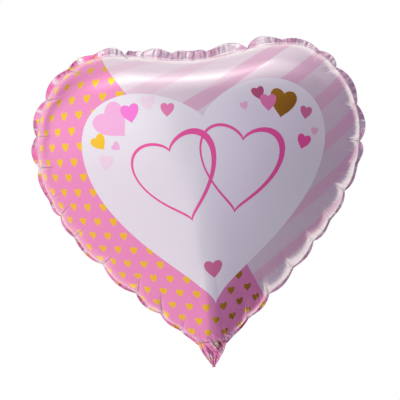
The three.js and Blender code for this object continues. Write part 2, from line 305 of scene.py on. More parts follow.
class Board:
    """A node tree, with methods that add nodes"""

    def __init__(self, tree):
        self.tree = tree

    def node(self, kind, sockets=None, out=0, **settings):
        made = self.tree.nodes.new(kind)
        for name, value in settings.items():
            setattr(made, name, value)
        for key, value in (sockets or {}).items():
            self.plug(value, made.inputs[key])
        return Wire(self, made.outputs[out]) if made.outputs else None

    def plug(self, value, socket):
        if isinstance(value, Wire):
            self.tree.links.new(value.socket, socket)
        elif socket.type == "RGBA":
            socket.default_value = (*value, 1.0)
        else:
            socket.default_value = value

    def outputs(self, kind, sockets=None):
        """All outputs of a new node"""
        return [Wire(self, socket) for socket in self.node(kind, sockets).socket.node.outputs]

    def vector(self, x, y, z=0.0):
        return self.node("ShaderNodeCombineXYZ", {"X": x, "Y": y, "Z": z})

    def noise(self, place, scale=1.0, detail=1.0, distortion=0.0):
        """Noise at a vector, or along a plain number"""
        entry, dimensions = ("Vector", "3D") if place.socket.type == "VECTOR" else ("W", "1D")
        sockets = {entry: place, "Scale": scale, "Detail": detail, "Distortion": distortion}
        return self.node("ShaderNodeTexNoise", sockets, noise_dimensions=dimensions)

    def mix(self, share, first, second):
        """Colour between two colours"""
        sockets = {0: share, 6: first, 7: second}
        return self.node("ShaderNodeMix", sockets, out=2, data_type="RGBA", blend_type="MIX")

    def ramp(self, share, stops):
        """Colour along a ramp of places and colours"""
        made = self.node("ShaderNodeValToRGB", {0: share})
        elements = made.socket.node.color_ramp.elements
        while len(elements) > 1:
            elements.remove(elements[-1])
        for k, (place, shade) in enumerate(stops):
            element = elements[0] if k == 0 else elements.new(place)
            element.position = place
            element.color = (*shade, 1.0)
        return made


def evened(values, columns):
    """Values round the weld, evened out over a number of columns"""
    kernel = np.convolve(np.ones(columns), np.ones(columns)) / columns ** 2
    padded = np.concatenate([values[-columns + 1:], values, values[:columns - 1]])
    return np.convolve(padded, kernel, "valid")


def smoothstep(value, low, high):
    share = np.clip((np.asarray(value, float) - low) / (high - low), 0, 1)
    return share * share * (3 - 2 * share)


def blend(first, second, share):
    return first + (second - first) * share


def settings():
    """The property groups of the scene"""
    scene = bpy.context.scene
    return SimpleNamespace(**{name: getattr(scene, f"balloon_{name}") for name in PROPERTY_GROUPS})


# Outline and stations


def bezier(a, b, c, d, steps):
    t = np.linspace(0, 1, steps)[:, None]
    a, b, c, d = (np.array(point, float) for point in (a, b, c, d))
    return (1 - t) ** 3 * a + 3 * (1 - t) ** 2 * t * b + 3 * (1 - t) * t * t * c + t ** 3 * d


# How far the round bottom of the notch climbs to its handle
NOTCH_LIFT = 0.002


class WeldLine:
    """One half of the weld, laid to the right, from the notch over the lobe and down to the neck"""

    def __init__(self, outline, side, steps=400):
        half = outline.heart_width / 2
        neck = outline.neck_width / 2
        top, peak, reach, belly, run, rise = (
            getattr(outline, f"{side}_{size}")
            for size in ("lobe_top", "lobe_peak", "shoulder", "belly", "run", "rise"))
        notch = outline.notch_top
        shoulder = bezier((0, notch), (outline.notch_softness, notch + NOTCH_LIFT),
                          (peak - reach, top), (peak, top), steps)
        turn = np.linspace(math.pi / 2, 0, steps)
        lobe = np.c_[peak + (half - peak) * np.cos(turn), top * np.sin(turn)]
        flank = bezier((half, 0), (half, -belly), (neck + run, -outline.neck_depth + rise),
                       (neck, -outline.neck_depth), steps)
        self.points = np.vstack([shoulder, lobe[1:], flank[1:]])
        run = np.r_[0, np.cumsum(np.linalg.norm(np.diff(self.points, axis=0), axis=1))]
        self.length = run[-1]
        self.shares = run / run[-1]

    def at(self, share):
        return np.c_[np.interp(share, self.shares, self.points[:, 0]),
                     np.interp(share, self.shares, self.points[:, 1])]

    def outward(self, share, reach=0.004):
        ahead = self.at(np.minimum(share + reach, 1))
        behind = self.at(np.maximum(share - reach, 0))
        along = ahead - behind
        normal = np.c_[-along[:, 1], along[:, 0]]
        return normal / np.linalg.norm(normal, axis=1)[:, None]


# Spacing of the sheet's columns along the weld, its columns across the neck and its steps over the hem
COLUMN_PITCH = 0.00095
NECK_COLUMNS = 28
HEM_STEPS = 6

# Middle and reach of the scallop that is folded away over the left lobe, as shares of the weld
TUCKED_PLACE = 0.1265
TUCKED_REACH = 0.012

# How much the pull and the slant vary from pucker to pucker
PULL_SPREAD = 0.2
SLANT_SPREAD = 0.35


def uneven(along, spacing, seed):
    """A wave of uneven spacing and height, from -1 to 1"""
    turn = 2 * math.pi * np.asarray(along) / spacing
    return (np.sin(turn + seed + 1.3 * np.sin(turn * 0.23 + seed)) * 0.6
            + np.sin(turn * 1.71 + 2.1 * seed) * 0.4)


def flank_stations(side, puckers, parts):
    """Places along one side of the weld, from the notch to the neck, as a dict of arrays"""
    blown, hem = parts.blown, parts.hem
    weld = WeldLine(parts.outline, side)
    mirror = (1 if side == "right" else -1, 1)
    marks = [(0, 0), *puckers, (1, 1)]
    rows = []
    for k, ((start, first_pull), (end, last_pull)) in enumerate(zip(marks, marks[1:])):
        span = (end - start) * weld.length
        columns = round(span / COLUMN_PITCH)
        place = np.arange(columns) / columns
        pull = blend(first_pull, last_pull, place)
        from_last = (place > 0.5) * 1.0
        near_pull = np.where(from_last, last_pull, first_pull)
        lean = 1 - k % 2 * 2
        rows.append(np.c_[blend(start, end, place), place, np.full(columns, span), np.full(columns, lean),
                          pull, near_pull, k + from_last])
    rows.append([[1, 0, COLUMN_PITCH, 1, 1, 1, len(marks) - 1]])
    share, place, span, lean, pull, near_pull, number = np.vstack(rows).T
    along = share * weld.length
    swell = 1 - (1 - np.sin(np.pi * place)) * pull
    near_neck = 1 - smoothstep((1 - share) * weld.length, 0, parts.tail.gap_fade)
    at_notch = 1 - smoothstep(share, hem.lobe_from, hem.lobe_to)
    seed = 1.7 * mirror[0] + 3
    bulge = span * blend(blown.lobe_scallop, blown.flank_scallop,
                         smoothstep(share, blown.scallop_from, blown.scallop_to))
    width = blend(hem.hem_notch, hem.hem_lobe, 1 - at_notch)
    width = blend(width, hem.hem_flank, smoothstep(share, hem.flank_from, hem.flank_to))
    tucked = np.exp(-((share - TUCKED_PLACE) / TUCKED_REACH) ** 2) * (mirror[0] < 0)
    width = width * (1 - hem.hem_tuck * tucked)
    at_pucker = near_neck * (1 - swell) * hem.hem_flank
    pleats = (1 + 0.6 * at_notch) * (1 - near_neck) * np.maximum(swell, 0.2) ** 0.5
    return {
        "point": weld.at(share) * mirror,
        "out": weld.outward(share) * mirror,
        "scallop": bulge * (swell - 0.5) * (1 - near_neck),
        "aside": np.where(place > 0.5, place - 1, place) * span * mirror[0],
        "pull": near_pull * (1 - 0.5 * near_neck) * (1 - PULL_SPREAD * (1 - np.sin(2.3 * number + seed))),
        "slant": SLANT_SPREAD * np.sin(4.7 * number + seed),
        "hem": blend(hem.hem_at_pucker, width, np.maximum(swell, 0) ** 0.75) + at_pucker,
        "lean": lean * hem.hem_lean * np.sin(2 * np.pi * place) * (1 - near_neck),
        "pleat": uneven(along, hem.pleat_spacing, seed) * hem.pleat_height * pleats,
        "gap": blend(blown.clear / 2, neck_gap(parts), near_neck),
        "along": along + (1 - mirror[0]) * weld.length,
    }


def neck_gap(parts):
    """Half the gap between the films where the valve lies between them"""
    return parts.blown.clear * 1.5 + parts.tail.valve_film


# How far the back film parts from the neck's middle, as a share of the front film's way
BACK_PARTING = 0.3


def parted(across, parts, face):
    """How far the gas parts a film from the middle of the neck, at places from -1 to 1"""
    share = 1.0 if face < 0 else BACK_PARTING
    return parts.tail.neck_swell * share * np.clip(1 - across ** 2, 0, 1)


def neck_stations(parts):
    """Places across the neck, between its corners"""
    half = parts.outline.neck_width / 2
    x = np.linspace(half, -half, NECK_COLUMNS + 1)[1:-1]
    blank = np.zeros_like(x)
    still = {key: blank for key in ("scallop", "pull", "slant", "hem", "lean", "pleat", "along")}
    return still | {
        "point": np.c_[x, np.full_like(x, -parts.outline.neck_depth)],
        "out": np.c_[blank, blank - 1],
        "aside": np.full_like(x, half),
        "gap": np.full_like(x, neck_gap(parts)),
    }


class Stations:
    """All places round the weld, clockwise as seen from the front, from the notch"""

    def __init__(self, parts):
        right = flank_stations("right", RIGHT_PUCKERS, parts)
        left = {key: value[:0:-1] for key, value in flank_stations("left", LEFT_PUCKERS, parts).items()}
        neck = neck_stations(parts)
        self.first_corner = len(right["along"]) - 1
        self.last_corner = self.first_corner + NECK_COLUMNS
        for key in right:
            setattr(self, key, np.concatenate([right[key], neck[key], left[key]]))
        self.count = len(self.along)


# Tail


# Share of the folds' height that is left at the bend, and the waves of the folds across the tail: their
# turns, start and share
FOLD_AT_BEND = 0.25
FOLD_WAVES = ((7.2, 0.8, 0.6), (13.5, -1.1, 0.4))


class TailPath:
    """Rows of the tail, from below the neck, round the fold and up to the mouth"""

    def __init__(self, parts, leg_rows=30, bend_rows=10):
        outline, blown, tail = parts.outline, parts.blown, parts.tail
        self.stack = neck_gap(parts) + blown.film
        self.bend = self.stack + tail.fold_clear
        self.width_at_neck = outline.neck_width + 2 * tail.tail_hem
        neck = -outline.neck_depth
        centre = neck - tail.tip_drop + self.bend + self.stack
        top = centre + tail.tail_rise - self.bend
        rows = []
        for k in range(1, leg_rows + 1):
            share = k / leg_rows
            width = blend(tail.tip_width, self.width_at_neck, (1 - share) ** tail.leg_taper)
            drop = share * (neck - centre)
            swell = math.exp(-(drop / tail.swell_reach) ** 2)
            fold = smoothstep(share, 0, 0.3) * (1 - (1 - FOLD_AT_BEND) * smoothstep(share, 0.6, 1))
            rows.append((0, neck - drop, 1, 0, width, swell, fold))
        for k in range(1, bend_rows + 1):
            turn = math.pi * k / bend_rows
            inward = (math.cos(turn), math.sin(turn))
            rows.append((self.bend * (1 - inward[0]), centre - self.bend * inward[1], *inward,
                         tail.tip_width, 0, FOLD_AT_BEND))
        for k in range(1, leg_rows + 1):
            share = k / leg_rows
            width = blend(tail.tip_width, tail.mouth_width, math.sin(math.pi / 2 * share))
            fold = FOLD_AT_BEND * (1 - smoothstep(share, 0, 0.55))
            rows.append((2 * self.bend, blend(centre, top, share), -1, 0, width, 0, fold))
        self.rows = np.array(rows)
        self.parts = parts

    def points(self, row, across, offset, face=0):
        """Points of a row at places across the tail, from 1 on the right to -1 on the left"""
        y, z, inward_y, inward_z, width, swell, fold = self.rows[row]
        folds = sum(np.cos(across * turns + start) * part for turns, start, part in FOLD_WAVES)
        lift = self.parts.tail.gather_height * fold * folds * (1 - across ** 4)
        opening = self.parts.outline.neck_width / self.width_at_neck
        push = offset + face * swell * parted(across / opening, self.parts, face)
        return np.c_[across * width / 2, y + push * inward_y + lift, z + push * inward_z]


# Film sheets


def stitch(outer, inner, closed=True):
    """Faces between two rows of vertices. They look to the back where rows run clockwise."""
    if len(outer) == len(inner):
        a, b = (outer, inner) if not closed else (outer + outer[:1], inner + inner[:1])
        return [(a[k], a[k + 1], b[k + 1], b[k]) for k in range(len(a) - 1)]
    faces = []
    a = b = 0
    while a < len(outer) or b < len(inner):
        here, there = outer[a % len(outer)], inner[b % len(inner)]
        outer_first = (a + 1) * len(inner) <= (b + 1) * len(outer)
        if b >= len(inner) or (a < len(outer) and outer_first):
            faces.append((here, outer[(a + 1) % len(outer)], there))
            a += 1
        else:
            faces.append((here, inner[(b + 1) % len(inner)], there))
            b += 1
    return faces


# What the sheet says of each vertex: its share of the way to the weld (the hem from 1 to 2, and the tail
# beyond), its distance in from the weld and aside of the nearest pucker, that pucker's pull and slant, and
# its place along the weld
MARKS = ("share", "inward", "aside", "pull", "slant", "along")
HEM_END = 2.5
TAIL_SHARE = 3

# Rings of the crown, and the steps between a ring's columns, by the least share that has them
RINGS = 52
RING_STRIDES = ((0.80, 1), (0.52, 2), (0.30, 4), (0.14, 8), (0.0, 16))


def ring_shares(blown):
    """Shares of the way from the crown's middle to the weld, closer where the film is steep"""
    rise = np.sin(math.pi / 2 * np.arange(RINGS) / RINGS)
    return (1 - rise ** (1 / blown.side_roundness)) ** (1 / blown.side_fullness)


class FilmSheet:
    """Unblown sheet of one film: its vertices with what the blowing up needs, and its faces"""

    def __init__(self, parts, stations, face):
        self.parts, self.stations, self.face = parts, stations, face
        self.points = []
        self.marks = {key: [] for key in MARKS}
        self.faces = []
        self.rings = []
        self.add_crown()
        self.add_hem()
        self.add_tail()
        if face < 0:
            self.faces = [tuple(reversed(f)) for f in self.faces]

    def add(self, points, **marks):
        """Adds vertices with what the blowing up needs to know of them, and gives their numbers"""
        first = sum(len(block) for block in self.points)
        self.points.append(points)
        for key, store in self.marks.items():
            store.append(np.broadcast_to(marks.get(key, 0.0), len(points)).astype(float))
        return list(range(first, first + len(points)))

    def outer_gap(self, chosen=slice(None)):
        return self.face * (self.stations.gap[chosen] + self.parts.blown.film)

    def add_crown(self):
        stations, blown = self.stations, self.parts.blown
        centre = np.array([0, blown.crown_centre])
        arm = stations.point - centre
        reach = np.linalg.norm(arm, axis=1)
        columns = round(blown.ridge_softness / COLUMN_PITCH)
        even_arm = np.c_[evened(arm[:, 0], columns), evened(arm[:, 1], columns)]
        soft_arm = blend(arm, even_arm, smoothstep(-arm[:, 1] / reach, 0, 0.5)[:, None])
        half_height = np.where(soft_arm[:, 1] > 0, blown.inner_rise, blown.inner_drop)
        stretch = np.hypot(soft_arm[:, 0] / blown.inner_half_width, soft_arm[:, 1] / half_height)
        oval = soft_arm / stretch[:, None]
        at_neck = slice(stations.first_corner, stations.last_corner + 1)
        level = blown.film + blown.clear / 2
        opening = stations.gap - blown.clear / 2
        opening[at_neck] += parted(np.linspace(1, -1, NECK_COLUMNS + 1), self.parts, self.face)
        for share in ring_shares(blown):
            stride = next(step for least, step in RING_STRIDES if share >= least)
            chosen = np.arange(0, stations.count, stride)
            edge = blend(soft_arm, arm, smoothstep(share, 0.55, 1) ** 2)
            ray = blend(oval, edge, share ** blown.outline_hold)
            near = max(0, 1 - (1 - share) / blown.scallop_reach) ** 2
            place = centre + share * ray + stations.out * (stations.scallop * near)[:, None]
            gap = self.face * (level + opening * smoothstep(share, 0.7, 1))
            points = np.c_[place[:, 0], gap, place[:, 1]][chosen]
            marks = {key: getattr(stations, key)[chosen] for key in ("aside", "pull", "slant", "along")}
            numbers = self.add(points, share=share, inward=(1 - share) * reach[chosen], **marks)
            if self.rings:
                self.faces += stitch(self.rings[-1][0], numbers)
            self.rings.append((numbers, chosen, ray / np.linalg.norm(ray, axis=1)[:, None]))
        middle = self.add(np.array([[0, self.face * level, blown.crown_centre]]), inward=reach.min())
        last = self.rings[-1][0]
        self.faces += [(a, b, middle[0]) for a, b in zip(last, last[1:] + last[:1])]
        self.middle = middle[0]

    def hem_points(self, chosen, reach):
        stations = self.stations
        width = stations.scallop[chosen] + stations.hem[chosen] * reach
        place = stations.point[chosen] + stations.out[chosen] * width[:, None]
        fall = stations.hem[chosen] * reach * self.parts.hem.hem_slope
        lean = stations.lean[chosen] * reach ** 1.5 + stations.pleat[chosen] * smoothstep(reach, 0, 0.7)
        return np.c_[place[:, 0], self.outer_gap(chosen) + fall + lean, place[:, 1]]

    def add_hem(self):
        stations = self.stations
        weld = self.rings[0][0]
        right = list(range(stations.first_corner + 1))
        left = list(range(stations.last_corner, stations.count)) + [0]
        right_rows, left_rows = [[weld[k] for k in right]], [[weld[k] for k in left]]
        for step in range(1, HEM_STEPS + 1):
            reach = step / HEM_STEPS
            share = 1 + reach
            on_right = self.add(self.hem_points(right, reach), share=share, along=stations.along[right])
            on_left = self.add(self.hem_points(left[:-1], reach), share=share,
                               along=stations.along[left[:-1]]) + on_right[:1]
            right_rows.append(on_right)
            left_rows.append(on_left)
        for rows in (right_rows, left_rows):
            for inner, outer in zip(rows, rows[1:]):
                self.faces += stitch(outer, inner, closed=False)
        self.hem_rows = (right_rows, left_rows)

    def add_tail(self):
        stations, parts = self.stations, self.parts
        path = TailPath(parts)
        half = path.width_at_neck / 2
        weld = self.rings[0][0]
        right_rows, left_rows = self.hem_rows
        above = [row[-1] for row in right_rows[:0:-1]]
        above += weld[stations.first_corner:stations.last_corner + 1]
        above += [row[0] for row in left_rows[1:]]
        hem = np.linspace(1, parts.outline.neck_width / 2 / half, HEM_STEPS + 1)[:-1]
        corner = hem[-1] - (hem[0] - hem[1])
        neck = np.linspace(corner, -corner, NECK_COLUMNS + 1)
        across = np.r_[hem, neck, -hem[::-1]]
        self.tail_rows = []
        for row in range(len(path.rows)):
            points = path.points(row, across, self.face * path.stack, self.face)
            aside = points[:, 0] / path.rows[row][4]
            numbers = self.add(points, share=TAIL_SHARE, aside=aside, along=row / len(path.rows))
            self.faces += stitch(numbers, above, closed=False)
            self.tail_rows.append(numbers)
            above = numbers


def film_mesh(name, sheet):
    """Mesh of the unblown sheet, with the attributes that the blowing up reads"""
    mesh = bpy.data.meshes.new(name)
    points = np.vstack(sheet.points)
    mesh.from_pydata(points.tolist(), [], sheet.faces)
    blown, outline = sheet.parts.blown, sheet.parts.outline
    drop = (blown.crown_centre - points[:, 2]) / (blown.crown_centre + outline.neck_depth)
    marks = {key: np.concatenate(store) for key, store in sheet.marks.items()}
    marks["downward"] = np.clip(drop, 0, 1)
    for key, values in marks.items():
        layer = mesh.attributes.new(key, "FLOAT", "POINT")
        layer.data.foreach_set("value", values.astype(np.float32))
    return mesh


# Spacings that the ribs drift aside for each metre inwards, the reach round a pucker where they stand
# highest, and the run from the weld over which creases and ribs start
RIB_DRIFT = 40.0
RIB_REACH = 0.009
WELD_FADE = 0.0006

BLOWN_SIZES = (
    "crown_rise", "side_fullness", "side_roundness", "neck_fullness", "neck_roundness", "crease_depth",
    "crease_length", "crease_width", "crease_spread", "dimple_depth", "dimple_width", "rib_height",
    "rib_spacing", "rib_length")


def blowing_tree(name):
    """Geometry Nodes tree that blows a sheet up: the crown's rise, then creases and ridges"""
    tree = bpy.data.node_groups.new(name, "GeometryNodeTree")
    kinds = {"geometry": "Geometry"} | dict.fromkeys(("face", *BLOWN_SIZES), "Float") | {"film": "Material"}
    for key, kind in kinds.items():
        tree.interface.new_socket(titled(key), in_out="INPUT", socket_type=f"NodeSocket{kind}")
    tree.interface.new_socket("Geometry", in_out="OUTPUT", socket_type="NodeSocketGeometry")
    board = Board(tree)
    given = SimpleNamespace(**dict(zip(kinds, board.outputs("NodeGroupInput"))))
    share, inward, aside, pull, slant, along, downward = (
        board.node("GeometryNodeInputNamedAttribute", {"Name": key}, data_type="FLOAT")
        for key in (*MARKS, "downward"))
    inside = share.least(1.0)
    fullness = given.side_fullness + (given.neck_fullness - given.side_fullness) * downward
    roundness = given.side_roundness + (given.neck_roundness - given.side_roundness) * downward ** 3.0
    rise = given.crown_rise * (1.0 - inside ** fullness).most(0.0) ** roundness * given.face
    lift = board.vector(0.0, rise)
    crown = board.node("GeometryNodeSetPosition", {"Geometry": given.geometry, "Offset": lift})

    from_crease = aside + slant * inward
    run = inward / given.crease_length
    arms = (abs(from_crease) - given.crease_spread * inward).bell(given.crease_width)
    creases = arms * (1.0 - run).held() * given.crease_depth
    dimples = from_crease.bell(given.dimple_width) * (1.0 - run * 0.8).held() ** 2.0 * given.dimple_depth
    waver = board.noise(along / given.rib_spacing + inward * RIB_DRIFT)
    near_pucker = from_crease.bell(RIB_REACH) * pull * 0.7 + 0.3
    ribs = (waver - 0.5) * 2.0 * near_pucker * (1.0 - inward / given.rib_length).held() * given.rib_height
    on_crown = (share < 1.001) * (inward / WELD_FADE).held()
    along_normal = (ribs - (creases + dimples) * pull) * on_crown
    normal = board.node("GeometryNodeInputNormal")
    shift = board.node("ShaderNodeVectorMath", {0: normal, "Scale": along_normal}, operation="SCALE")
    creased = board.node("GeometryNodeSetPosition", {"Geometry": crown, "Offset": shift})
    real = board.node("GeometryNodeRealizeInstances", {"Geometry": creased})
    dressed = board.node("GeometryNodeSetMaterial", {"Geometry": real, "Material": given.film})
    board.node("NodeGroupOutput", {0: dressed})
    return tree


def evaluated_mesh(piece):
    """Plain mesh of a piece with its modifiers worked out"""
    graph = bpy.context.evaluated_depsgraph_get()
    return bpy.data.meshes.new_from_object(piece.evaluated_get(graph))


def new_piece(name, mesh):
    piece = bpy.data.objects.new(name, mesh)
    bpy.context.scene.collection.objects.link(piece)
    return piece


def settle(piece):
    """Works the piece's modifiers into its mesh"""
    mesh = evaluated_mesh(piece)
    piece.modifiers.clear()
    piece.data = mesh
    return piece


def blow_up(piece, face, parts, material):
    modifier = piece.modifiers.new("Blow up", "NODES")
    modifier.node_group = blowing_tree(f"Blow up {piece.name}")
    sizes = {titled(key): getattr(parts.blown, key) for key in BLOWN_SIZES}
    sizes |= {"Face": float(face), "Film": material}
    for item in modifier.node_group.interface.items_tree:
        if item.in_out == "INPUT" and item.name in sizes:
            modifier[item.identifier] = sizes[item.name]
    settle(piece)


# The square of flat sheet that the UV map covers: its side, and the height of its middle
FLAT_SPAN = 0.5
FLAT_MIDDLE = -0.02

# Columns over which the flat sheet's radius is evened out
RADIUS_COLUMNS = 31


def flat_places(sheet, mesh):
    """Where each vertex lay on the flat sheet, in metres, from the crown's middle outwards"""
    stations, blown = sheet.stations, sheet.parts.blown
    points = np.zeros(len(mesh.vertices) * 3, np.float32)
    mesh.vertices.foreach_get("co", points)
    points = points.reshape(-1, 3)
    flat = np.zeros((len(points), 2))
    centre = np.array([0, blown.crown_centre])
    everywhere = np.arange(stations.count)
    steps = []
    for (outer, outer_at, _), (inner, inner_at, _) in zip(sheet.rings, sheet.rings[1:]):
        match = np.searchsorted(outer_at, inner_at)
        gap = np.linalg.norm(points[np.array(outer)[match]] - points[inner], axis=1)
        steps.append(np.interp(everywhere, inner_at, gap, period=stations.count))
    last, last_at, _ = sheet.rings[-1]
    gap = np.linalg.norm(points[last] - points[sheet.middle], axis=1)
    steps.append(np.interp(everywhere, last_at, gap, period=stations.count))
    radius = np.cumsum(steps[::-1], axis=0)[::-1]
    radius = np.array([evened(row, RADIUS_COLUMNS) for row in radius])
    for (numbers, chosen, toward), reach in zip(sheet.rings, radius):
        flat[numbers] = centre + toward[chosen] * reach[chosen, None]
    flat[sheet.middle] = centre
    weld = sheet.rings[0][0]
    right = np.arange(stations.first_corner + 1)
    left = np.r_[np.arange(stations.last_corner, stations.count), 0]
    for rows, chosen in zip(sheet.hem_rows, (right, left)):
        for step, numbers in enumerate(rows[1:], 1):
            width = stations.hem[chosen] * step / HEM_STEPS
            flat[numbers] = flat[np.array(weld)[chosen]] + stations.out[chosen] * width[:, None]
    neck = flat[weld[stations.first_corner]][1]
    before = points[weld[(stations.first_corner + stations.last_corner) // 2]]
    run = 0.0
    for numbers in sheet.tail_rows:
        middle = points[numbers[len(numbers) // 2]]
        run += np.linalg.norm(middle - before)
        before = middle
        flat[numbers] = np.c_[points[numbers, 0], np.full(len(numbers), neck - run)]
    return flat


def lay_print(piece, flat):
    """Writes the flat places as the piece's UV map, with the flat sheet inside the unit square"""
    mesh = piece.data
    layer = mesh.uv_layers.new(name="Flat sheet")
    corners = np.zeros(len(mesh.loops), np.int32)
    mesh.loops.foreach_get("vertex_index", corners)
    places = 0.5 + (flat - (0, FLAT_MIDDLE)) / FLAT_SPAN
    layer.data.foreach_set("uv", places[corners].astype(np.float32).ravel())


def place_in_frame(piece, parts):
    """Moves the mesh from the widest level to the part's own origin"""
    level = film_low.z + parts.outline.neck_depth + parts.tail.tip_drop
    piece.data.transform(Matrix.Translation(((valve_low.x + valve_high.x) / 2, 0, level)))


def finish_piece(piece, node, film):
    """Gives a sheet its thickness, hides the part it replaces and hangs it on the root body"""
    thick = piece.modifiers.new("Thickness", "SOLIDIFY")
    thick.thickness = film / 2
    thick.offset = -1
    settle(piece)
    piece.data.shade_smooth()
    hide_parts(node)
    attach(piece, "root")


def make_film(name, node, face, material_maker):
    """One film: unblown sheet, blown up, with its flat places, and given its thickness"""
    parts = settings()
    sheet = FilmSheet(parts, Stations(parts), face)
    piece = new_piece(name, film_mesh(name, sheet))
    place_in_frame(piece, parts)
    blow_up(piece, face, parts, material_maker(parts.print_look))
    lay_print(piece, flat_places(sheet, piece.data))
    finish_piece(piece, node, parts.blown.film)


# Materials


def new_material(name):
    material = bpy.data.materials.new(name)
    material.use_nodes = True
    material.node_tree.nodes.clear()
    return material, Board(material.node_tree)


def finish_material(board, sockets):
    shader = board.node("ShaderNodeBsdfPrincipled", sockets)
    board.node("ShaderNodeOutputMaterial", {"Surface": shader})


class FilmPlace:
    """Millimetres right and up on the flat sheet, from the widest level's middle, and the sheet's marks"""

    def __init__(self, board):
        uv = board.node("ShaderNodeUVMap", uv_map="Flat sheet")
        right, up, _ = board.outputs("ShaderNodeSeparateXYZ", {0: uv})
        span = FLAT_SPAN * 1000
        self.right = (right - 0.5) * span
        self.up = (up - 0.5) * span + FLAT_MIDDLE * 1000
        self.share, self.inward, aside, self.pull, slant, self.along = (
            board.node("ShaderNodeAttribute", out=2, attribute_name=key) for key in MARKS)
        self.on_crown = self.share < 1.0
        self.on_hem = (self.share > 1.0) * (self.share < HEM_END)
        self.from_crease = aside + slant * self.inward


def turned(right, up, turn):
    """Right and up of a pattern that is turned counter-clockwise"""
    return (right * math.cos(turn) + up * math.sin(turn),
            up * math.cos(turn) - right * math.sin(turn))


def heart_value(right, up, lobes=0.75, softness=0.66):
    """Below 1 inside a heart of half width 1, notch at 1 and point at -1"""
    lifted = up - abs(right) ** softness * lobes
    return right * right + lifted * lifted


def heart_at(place, centre, half_width, turn, height=0.88):
    """Place across one heart and its value there, with the heart's middle and half width in millimetres"""
    right, up = turned(place.right - centre[0], place.up - centre[1], math.radians(turn))
    across = right / half_width
    return across, heart_value(across, up / (half_width * height))


def heart_line(place, centre, half_width, line, turn):
    """1 on the line of an outlined heart, thicker on its right side"""
    across, value = heart_at(place, centre, half_width, turn)
    return abs(value ** 0.5 - 1.0) < line / half_width * (1.0 + across * 0.45)


# Middle line of one stripe, and middle of one small heart, in millimetres on the flat sheet
STRIPE_START = -12.2
DOT_START = (5.7, -143.0)

# Big white heart: its middle, height and turn, its half width on the left and what the right side has more
FIELD_MIDDLE = (4.1, -86.0)
FIELD_HEIGHT = 104.2
FIELD_TURN = 1.6
FIELD_HALF_WIDTH = 130.3
FIELD_RIGHT_MORE = 8.3

# How high its lobes stand beside the notch, and how far the notch leans, over what width
FIELD_LOBES = 0.767
FIELD_LEAN = 5.5
FIELD_LEAN_REACH = 110.0


def field_mask(place):
    """1 inside the big white heart, whose two lobes curve differently"""
    right, up = turned(place.right - FIELD_MIDDLE[0], place.up - FIELD_MIDDLE[1], math.radians(FIELD_TURN))
    climb = up / FIELD_HEIGHT
    high = climb.held()
    right = right - (1.0 - abs(right) / FIELD_LEAN_REACH).held() * high * FIELD_LEAN
    half_width = (right > 0.0) * FIELD_RIGHT_MORE + FIELD_HALF_WIDTH
    softness = high * ((right < 0.0) * 0.13 + 0.07) + 0.587
    return heart_value(right / half_width, climb, FIELD_LOBES, softness) < 1.0


# Scattered hearts of the print: ink, middle right and up, half width and turn
FIELD_HEARTS = (
    ("blush", (-50.7, 35.8), 8, 6),
    ("blush", (-101.5, -24.5), 8.5, -10),
    ("faded", (50.7, 27), 4.5, 14),
    ("faded", (127, -4.8), 4.4, -10),
    ("pink", (-88.2, 16.8), 19, 40),
    ("pink", (-87.5, -6.8), 4.8, 52),
    ("rose", (-31, 27.6), 7.3, -6),
    ("orchid", (-70.4, 26.2), 10, 8),
    ("gold", (-106.3, -2.2), 8.6, 32),
    ("gold", (92, 25.6), 15, -15),
    ("wine", (67, 39.2), 7, 12),
    ("rose", (76.6, 28.4), 9, -2),
    ("raspberry", (118, 15.8), 7, -14),
    ("magenta", (113, -15.8), 8, -20),
    ("raspberry", (6.8, -148.7), 10, 2),
)


# Motif of two outlined hearts: middle right and up, half width, line and turn
MOTIF = (
    ((-22, -52), 44, 2.1, 14),
    ((40, -46), 44, 2.1, -10),
)

# Relief that is too fine for the mesh, in metres: the lines of a crease beside its middle, their half width,
# depth and run, the ribs' height and run, and the heights of the hem's pleats and the tail's folds
LINE_ASIDE = 0.0017
LINE_WIDTH = 0.0006
LINE_DEPTH = 0.0006
LINE_RUN = 0.018
FINE_RIB = 0.0006
FINE_RIB_RUN = 0.014
FINE_PLEAT = 0.0018
TAIL_FOLD = 0.006

# How many of each there are in a metre of weld
RIBS_A_METRE = 420.0
PLEATS_A_METRE = 180.0
HEM_SHADE_AND_GLINT_PATCHES_A_METRE = 70.0

# Levels on the flat sheet in millimetres: where the band's dots end, where the tip starts, and how far down
# the tail's folds grow. Then the tip's brighter pink.
DOTS_END = (-264.0, -260.0)
TIP_START = (-244.0, -238.0)
FOLDS_GROW = (225.0, 252.0)
TIP_TINT = (1.0, 0.30, 0.52)


def film_relief(board, place):
    """Normal with the sharp creases, ribs, the hem's pleats and the tail's folds"""
    crease = place.from_crease
    lines = (abs(crease) - LINE_ASIDE).bell(LINE_WIDTH) + crease.bell(LINE_WIDTH)
    creases = lines * (1.0 - place.inward / LINE_RUN).held() * place.pull * -LINE_DEPTH
    ribs = board.noise(place.along, RIBS_A_METRE) - 0.5
    ribs = ribs * (1.0 - place.inward / FINE_RIB_RUN).held() * FINE_RIB
    pleats = board.noise(board.vector(place.along * PLEATS_A_METRE, place.share * 0.8), distortion=0.5)
    folds = board.noise(board.vector((place.right + place.up * 0.6) * 0.13, place.up * 0.05),
                        detail=1.5, distortion=1.2)
    gathered = (-place.up).step(*FOLDS_GROW) * (1.0 - place.on_hem)
    height = ((creases + ribs) * place.on_crown + (pleats - 0.5) * FINE_PLEAT * place.on_hem
              + (folds - 0.5) * TAIL_FOLD * gathered)
    return board.node("ShaderNodeBump", {"Strength": 1.0, "Distance": 1.0, "Height": height})


# Where the stripes start to fan out towards the left, over what width, and how fast
FAN_START = 40.0
FAN_WIDTH = 120.0
FAN_RATE = 0.14

# Edges of the pink band: a point on each, and its normal
BAND_EDGES = (
    ((-111.0, 99.0), (46.0, 34.0)),
    ((45.0, -148.0), (1.0, 0.442)),
)


